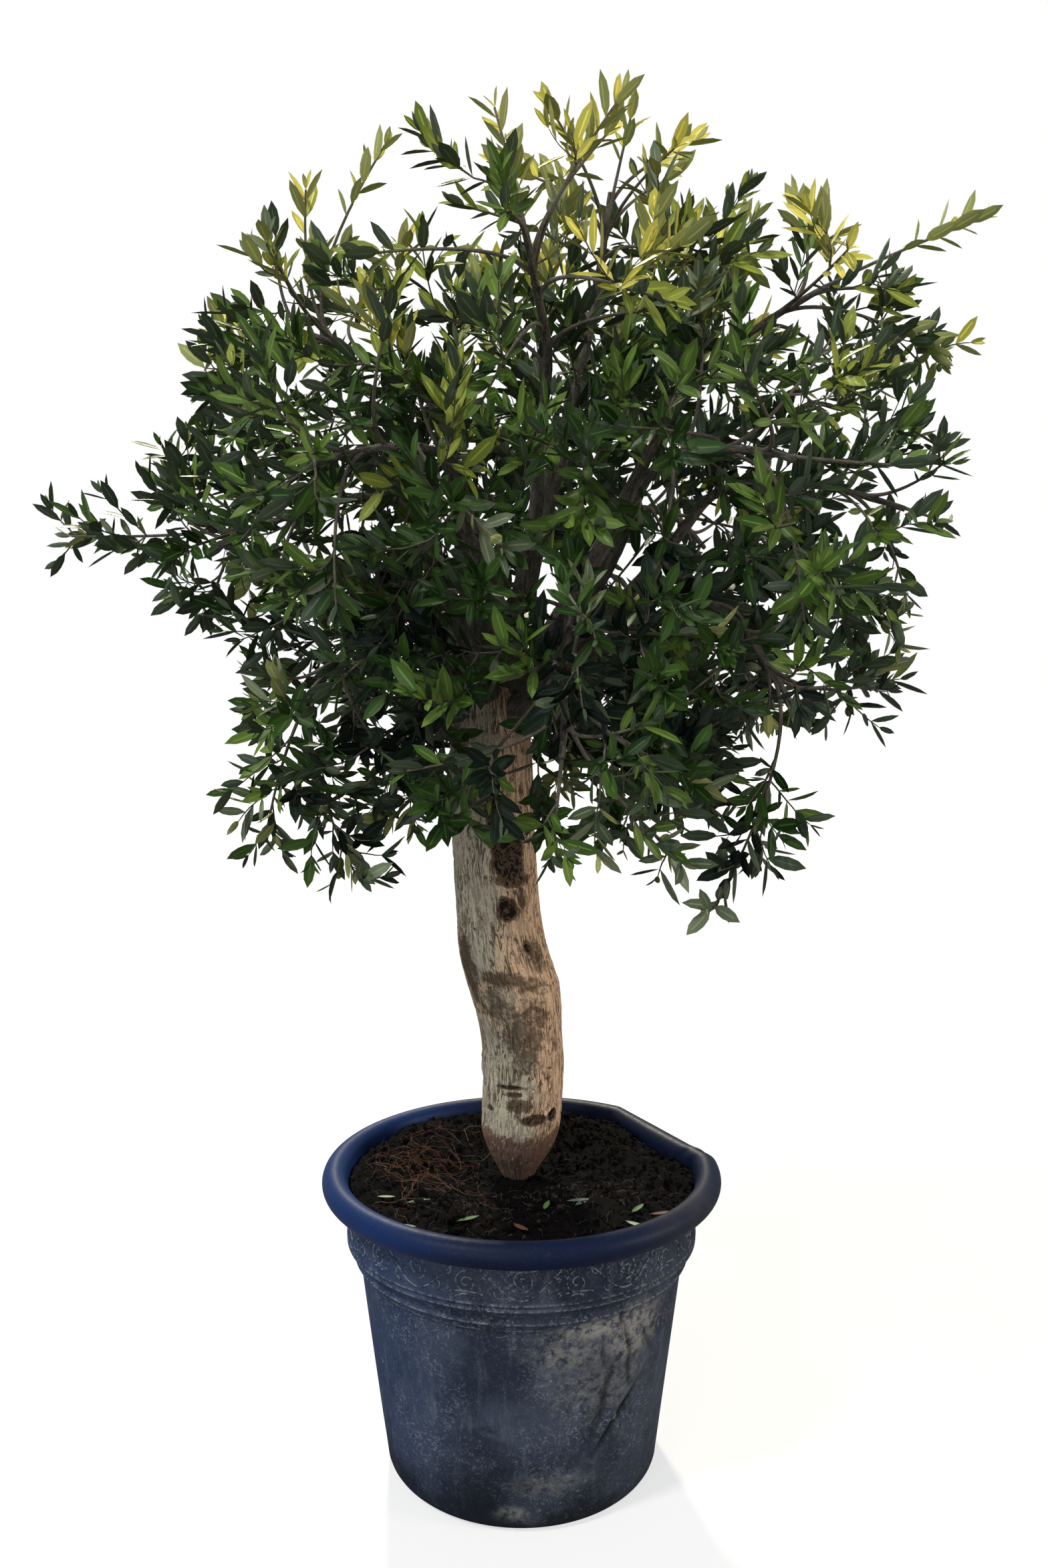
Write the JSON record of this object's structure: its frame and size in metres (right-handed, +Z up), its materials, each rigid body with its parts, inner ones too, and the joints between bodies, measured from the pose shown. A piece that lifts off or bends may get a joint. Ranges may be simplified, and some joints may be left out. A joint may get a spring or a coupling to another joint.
{
  "type": "potted olive tree",
  "caption": "Olive tree grown as a short standard, with a thick crooked trunk and a round open crown, in a rolled-rim nursery pot.",
  "frame": {"origin": "centre of the pot's flat underside", "axes": "+Z up along the pot's axis; the crown's fuller side is +X and its front is -Y"},
  "size_m": [1.4145, 1.0495, 2.0181],
  "materials": {
    "pot": "blue-black moulded plastic, satin on the rolled rim, dusty and scuffed on the collar and body",
    "soil": "dark crumbly potting compost with bark bits, rootlets and a few fallen leaves",
    "bark": "pale grey-beige bark with fine fissures, brown knots and healed cuts",
    "leaves": "leathery olive leaves, dark green above and grey-green below, yellow-green at the young tips"
  },
  "bodies": {
    "root": {"pot": "pot", "soil": "soil", "trunk": "bark", "bough_top": "bark", "bough_upper_front": "bark", "bough_upper_right": "bark", "bough_upper_back": "bark", "bough_upper_left": "bark", "bough_front_right": "bark", "bough_right": "bark", "bough_back_right": "bark", "bough_back_left": "bark", "bough_left": "bark", "bough_front_left": "bark", "bough_low_front": "bark", "bough_low_right": "bark", "bough_low_back_right": "bark", "bough_low_back_left": "bark", "bough_low_left": "bark", "foliage_top": "leaves", "foliage_upper_front": "leaves", "foliage_upper_right": "leaves", "foliage_upper_back": "leaves", "foliage_upper_left": "leaves", "foliage_front_right": "leaves", "foliage_right": "leaves", "foliage_back_right": "leaves", "foliage_back_left": "leaves", "foliage_left": "leaves", "foliage_front_left": "leaves", "foliage_low_front": "leaves", "foliage_low_right": "leaves", "foliage_low_back_right": "leaves", "foliage_low_back_left": "leaves", "foliage_low_left": "leaves"}
  },
  "joints": []
}
